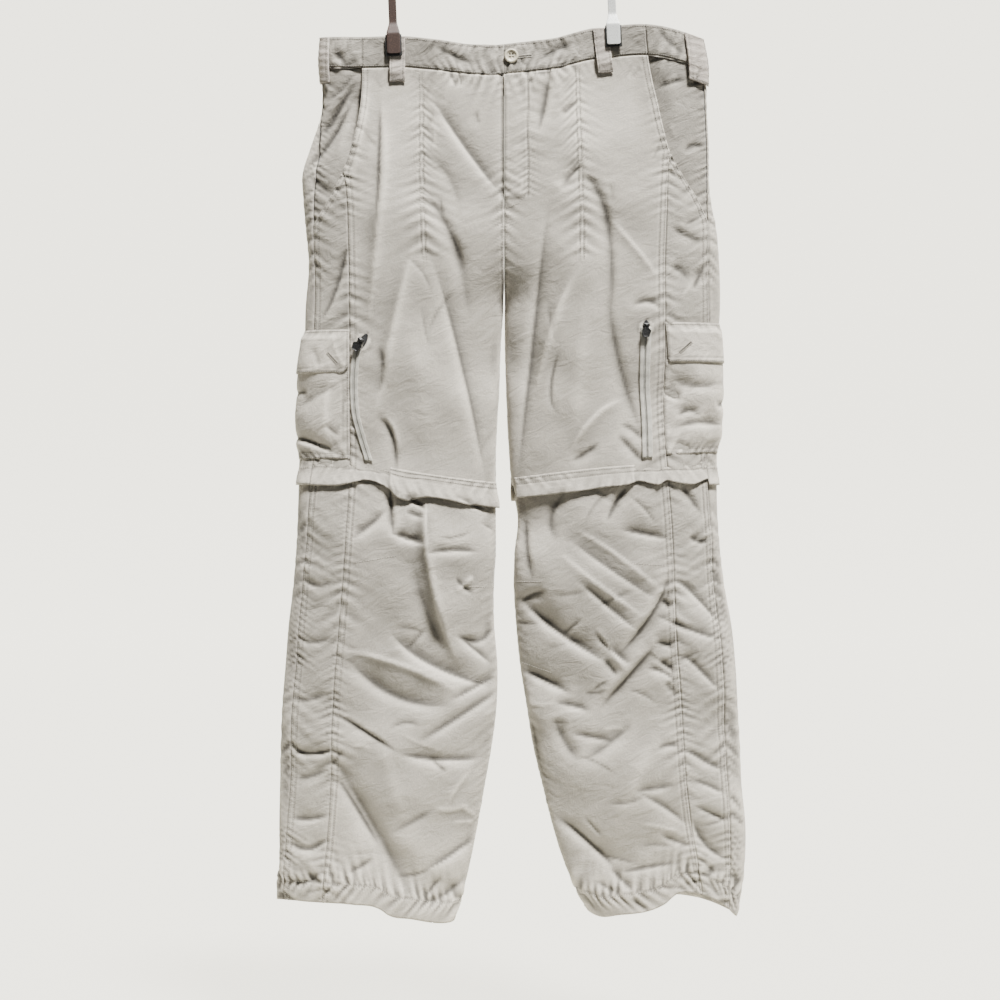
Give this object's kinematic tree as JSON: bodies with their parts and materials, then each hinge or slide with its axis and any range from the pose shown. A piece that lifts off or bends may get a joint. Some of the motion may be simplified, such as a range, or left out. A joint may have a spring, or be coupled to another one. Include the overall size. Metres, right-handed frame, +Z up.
{
  "type": "convertible zip-off trousers on a clip hanger",
  "caption": "Light grey hiking trousers with zip-off lower legs, cargo pockets and zipped thigh pockets, hanging by the waistband from a clip hanger.",
  "frame": {"origin": "inner crown of the hanger's hook, where a rail carries it", "axes": "+X towards the wearer's left (right in the picture), -Y out of the front, +Z up"},
  "size_m": [0.586, 0.0847, 1.2647],
  "materials": {
    "nylon": "matt light warm-grey woven nylon",
    "zip_tape": "pale woven zip tape",
    "black_zip_parts": "satin black",
    "button": "cream, polished",
    "clip_rubber": "matt black",
    "brown_clip": "dark brown, worn satin",
    "grey_clip": "satin",
    "hanger_wire": "bright"
  },
  "bodies": {
    "garment_and_hanger": {"back_shin_left": "nylon", "back_shin_right": "nylon", "back_thigh_left": "nylon", "back_thigh_right": "nylon", "belt_loop_back": "nylon", "belt_loop_front_left": "nylon", "belt_loop_front_right": "nylon", "belt_loop_side_left": "nylon", "belt_loop_side_right": "nylon", "cargo_flap_left": "nylon", "cargo_flap_right": "nylon", "cargo_pocket_left": "nylon", "cargo_pocket_right": "nylon", "clip_back_left": "grey_clip", "clip_back_right": "brown_clip", "clip_front_left": "grey_clip", "clip_front_right": "brown_clip", "clip_pad_back_left": "clip_rubber", "clip_pad_back_right": "clip_rubber", "clip_pad_front_left": "clip_rubber", "clip_pad_front_right": "clip_rubber", "fly_facing": "nylon", "front_shin_left": "nylon", "front_shin_right": "nylon", "front_thigh_left": "nylon", "front_thigh_right": "nylon", "hanger_bar": "hanger_wire", "hanger_hook": "hanger_wire", "knee_flap_back_left": "nylon", "knee_flap_back_right": "nylon", "knee_flap_front_left": "nylon", "knee_flap_front_right": "nylon", "knee_zip_left": "zip_tape", "knee_zip_right": "zip_tape", "pocket_facing_left": "nylon", "pocket_facing_right": "nylon", "side_shin_left": "nylon", "side_shin_right": "nylon", "side_thigh_left": "nylon", "side_thigh_right": "nylon", "thigh_zip_left": "zip_tape", "thigh_zip_right": "zip_tape", "waist_button": "button", "waistband_back_left": "nylon", "waistband_back_right": "nylon", "waistband_front_left": "nylon", "waistband_front_right": "nylon", "zip_slider_left": "black_zip_parts", "zip_slider_right": "black_zip_parts"},
    "right_zip_pull": {"zip_pull_right": "black_zip_parts"},
    "left_zip_pull": {"zip_pull_left": "black_zip_parts"}
  },
  "joints": [
    {"name": "right_zip_pull_swing", "type": "hinge", "parent": "garment_and_hanger", "child": "right_zip_pull", "pos_m": [-0.17199, -0.03668, -0.53754], "axis": [-0.8389, 0.0726, 0.5394], "range_deg": [0, 150]},
    {"name": "left_zip_pull_swing", "type": "hinge", "parent": "garment_and_hanger", "child": "left_zip_pull", "pos_m": [0.18065, -0.03831, -0.51898], "axis": [-0.9963, -0.0694, 0.0505], "range_deg": [0, 150]}
  ]
}
